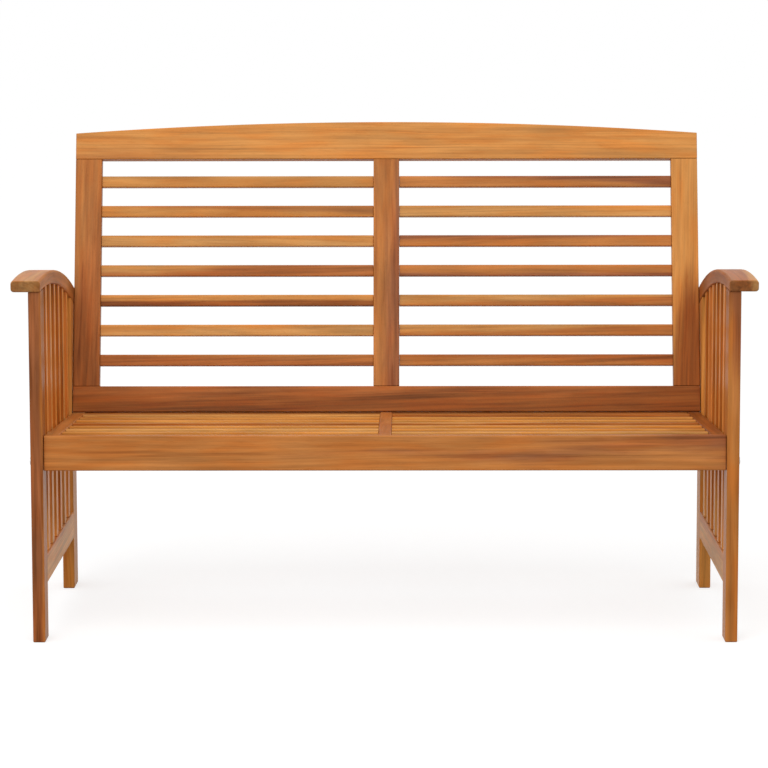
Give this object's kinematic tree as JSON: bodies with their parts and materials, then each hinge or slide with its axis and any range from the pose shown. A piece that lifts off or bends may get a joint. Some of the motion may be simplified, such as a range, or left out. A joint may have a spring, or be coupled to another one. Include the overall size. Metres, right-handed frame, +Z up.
{
  "type": "garden bench",
  "caption": "Slatted hardwood garden bench with a tilted seat, a leaning back under an arched top rail, and curved armrests over upright side slats, for sitting outdoors.",
  "frame": {"origin": "on the floor, in the middle of the bench's outline", "axes": "+X across the bench to its right as seen from the front, +Y from front to rear, +Z up"},
  "size_m": [1.2, 0.6242, 0.8171],
  "materials": {
    "side_wood": "oiled satin",
    "seat_wood": "oiled satin",
    "back_wood": "oiled satin",
    "zinc_steel": "zinc plated"
  },
  "bodies": {
    "root": {"armrest_left": "side_wood", "armrest_right": "side_wood", "back_bottom_rail": "back_wood", "back_centre_stile": "back_wood", "back_slat_left_1": "back_wood", "back_slat_left_2": "back_wood", "back_slat_left_3": "back_wood", "back_slat_left_4": "back_wood", "back_slat_left_5": "back_wood", "back_slat_left_6": "back_wood", "back_slat_left_7": "back_wood", "back_slat_right_1": "back_wood", "back_slat_right_2": "back_wood", "back_slat_right_3": "back_wood", "back_slat_right_4": "back_wood", "back_slat_right_5": "back_wood", "back_slat_right_6": "back_wood", "back_slat_right_7": "back_wood", "back_stile_left": "back_wood", "back_stile_right": "back_wood", "back_top_rail": "back_wood", "barrel_nuts": "zinc_steel", "frame_bolts": "zinc_steel", "front_leg_left": "side_wood", "front_leg_right": "side_wood", "lower_rail_left": "side_wood", "lower_rail_right": "side_wood", "rear_leg_left": "side_wood", "rear_leg_right": "side_wood", "seat_centre_rail": "seat_wood", "seat_end_rail_left": "seat_wood", "seat_end_rail_right": "seat_wood", "seat_front_rail": "seat_wood", "seat_rear_rail": "seat_wood", "seat_slat_left_1": "seat_wood", "seat_slat_left_2": "seat_wood", "seat_slat_left_3": "seat_wood", "seat_slat_left_4": "seat_wood", "seat_slat_left_5": "seat_wood", "seat_slat_left_6": "seat_wood", "seat_slat_left_7": "seat_wood", "seat_slat_right_1": "seat_wood", "seat_slat_right_2": "seat_wood", "seat_slat_right_3": "seat_wood", "seat_slat_right_4": "seat_wood", "seat_slat_right_5": "seat_wood", "seat_slat_right_6": "seat_wood", "seat_slat_right_7": "seat_wood", "side_slat_left_1": "side_wood", "side_slat_left_2": "side_wood", "side_slat_left_3": "side_wood", "side_slat_left_4": "side_wood", "side_slat_left_5": "side_wood", "side_slat_left_6": "side_wood", "side_slat_right_1": "side_wood", "side_slat_right_2": "side_wood", "side_slat_right_3": "side_wood", "side_slat_right_4": "side_wood", "side_slat_right_5": "side_wood", "side_slat_right_6": "side_wood"}
  },
  "joints": []
}
